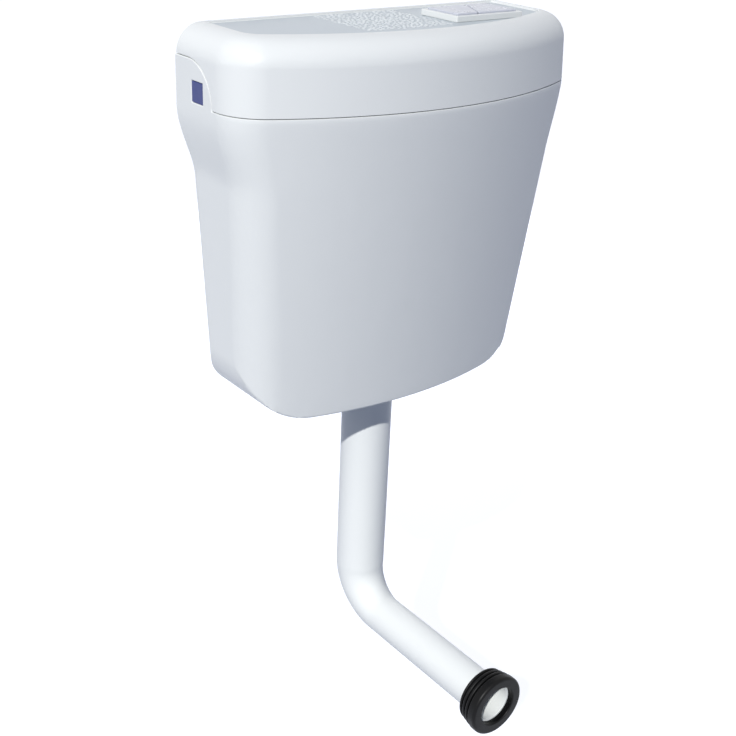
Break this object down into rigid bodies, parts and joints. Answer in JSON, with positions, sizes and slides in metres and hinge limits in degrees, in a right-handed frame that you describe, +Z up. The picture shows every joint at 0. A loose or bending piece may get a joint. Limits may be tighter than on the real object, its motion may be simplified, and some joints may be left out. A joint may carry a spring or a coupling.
{
  "type": "flush cistern",
  "caption": "Wall-hung low-level flush cistern with bow-fronted tank, lift-off lid, push pads, inner flush and fill valves, bent flush pipe and ribbed rubber pan cone.",
  "frame": {"origin": "on the flat back face of the tank, at mid-width, at the height of the parting line between tank and lid", "axes": "+X to the right of a person facing the cistern, +Y into the wall, +Z up"},
  "size_m": [0.393, 0.256, 0.644],
  "materials": {
    "white_abs": "gloss",
    "pad_plastic": "gloss",
    "blue_plastic": "satin",
    "black_rubber": "matte",
    "pipe_plastic": "gloss",
    "valve_plastic": "satin",
    "natural_plastic": "satin",
    "lever_plastic": "satin",
    "nut_plastic": "satin",
    "steel": "brushed"
  },
  "bodies": {
    "cistern": {"tank": "white_abs", "side_inlet_plug": "blue_plastic", "plug_gasket": "black_rubber", "outlet_washer": "black_rubber", "flush_valve_base": "valve_plastic", "outlet_backnut": "nut_plastic", "flush_valve_tower": "valve_plastic", "lever_pin": "steel", "flush_pipe_nut": "nut_plastic", "flush_pipe_seal": "black_rubber", "flush_pipe": "pipe_plastic", "pan_cone": "black_rubber", "fill_valve_body": "valve_plastic", "inlet_gasket": "black_rubber", "inlet_nut": "nut_plastic", "inlet_filter": "natural_plastic", "fill_valve_cap": "lever_plastic", "fill_diaphragm": "black_rubber", "fill_tube": "natural_plastic", "fill_lever_pin": "steel"},
    "cover": {"lid": "white_abs", "push_plate_housing": "white_abs", "housing_retainer": "valve_plastic", "full_flush_spring": "steel", "half_flush_spring": "steel"},
    "full_push": {"full_flush_pad": "pad_plastic", "full_flush_rod": "valve_plastic"},
    "half_push": {"half_flush_pad": "pad_plastic", "half_flush_rod": "valve_plastic"},
    "flush_lift": {"overflow_tube": "natural_plastic", "flush_seal": "black_rubber", "flush_float": "natural_plastic"},
    "flush_rocker": {"flush_lever": "lever_plastic"},
    "half_trip": {"half_flush_trip": "lever_plastic"},
    "float_slide": {"fill_float": "natural_plastic", "float_rod": "lever_plastic"},
    "fill_rocker": {"fill_lever": "lever_plastic"}
  },
  "joints": [
    {"name": "lid_lift", "type": "slide", "parent": "cistern", "child": "cover", "axis": [0, 0, 1], "range_m": [0, 0.12]},
    {"name": "full_flush_press", "type": "slide", "parent": "cover", "child": "full_push", "axis": [0, 0, -1], "range_m": [0, 0.008], "stiffness_N_per_m": 300, "springref_m": -0.006, "deforming": ["full_flush_spring"]},
    {"name": "half_flush_press", "type": "slide", "parent": "cover", "child": "half_push", "axis": [0, 0, -1], "range_m": [0, 0.008], "stiffness_N_per_m": 300, "springref_m": -0.006, "deforming": ["half_flush_spring"]},
    {"name": "flush_lever_turn", "type": "hinge", "parent": "cistern", "child": "flush_rocker", "pos_m": [0.048, -0.05, -0.05], "axis": [0, 1, 0], "range_deg": [0, 18.5]},
    {"name": "overflow_tube_lift", "type": "slide", "parent": "cistern", "child": "flush_lift", "axis": [0, 0, 1], "range_m": [0, 0.0101]},
    {"name": "half_trip_turn", "type": "hinge", "parent": "cistern", "child": "half_trip", "pos_m": [0.048, -0.073, -0.05], "axis": [0, 1, 0], "range_deg": [0, 11.9]},
    {"name": "fill_float_rise", "type": "slide", "parent": "cistern", "child": "float_slide", "axis": [0, 0, 1], "range_m": [0, 0.038]},
    {"name": "fill_lever_turn", "type": "hinge", "parent": "cistern", "child": "fill_rocker", "pos_m": [0.142, -0.049, 0.008], "axis": [0, -1, 0], "range_deg": [0, 12.1]}
  ],
  "couplings": [
    {"joint": "flush_lever_turn", "follows": "full_flush_press", "rad_per_m": 40.17},
    {"joint": "overflow_tube_lift", "follows": "full_flush_press", "ratio": 1.25},
    {"joint": "half_trip_turn", "follows": "half_flush_press", "rad_per_m": 25.69},
    {"joint": "fill_lever_turn", "follows": "fill_float_rise", "rad_per_m": 5.51}
  ]
}
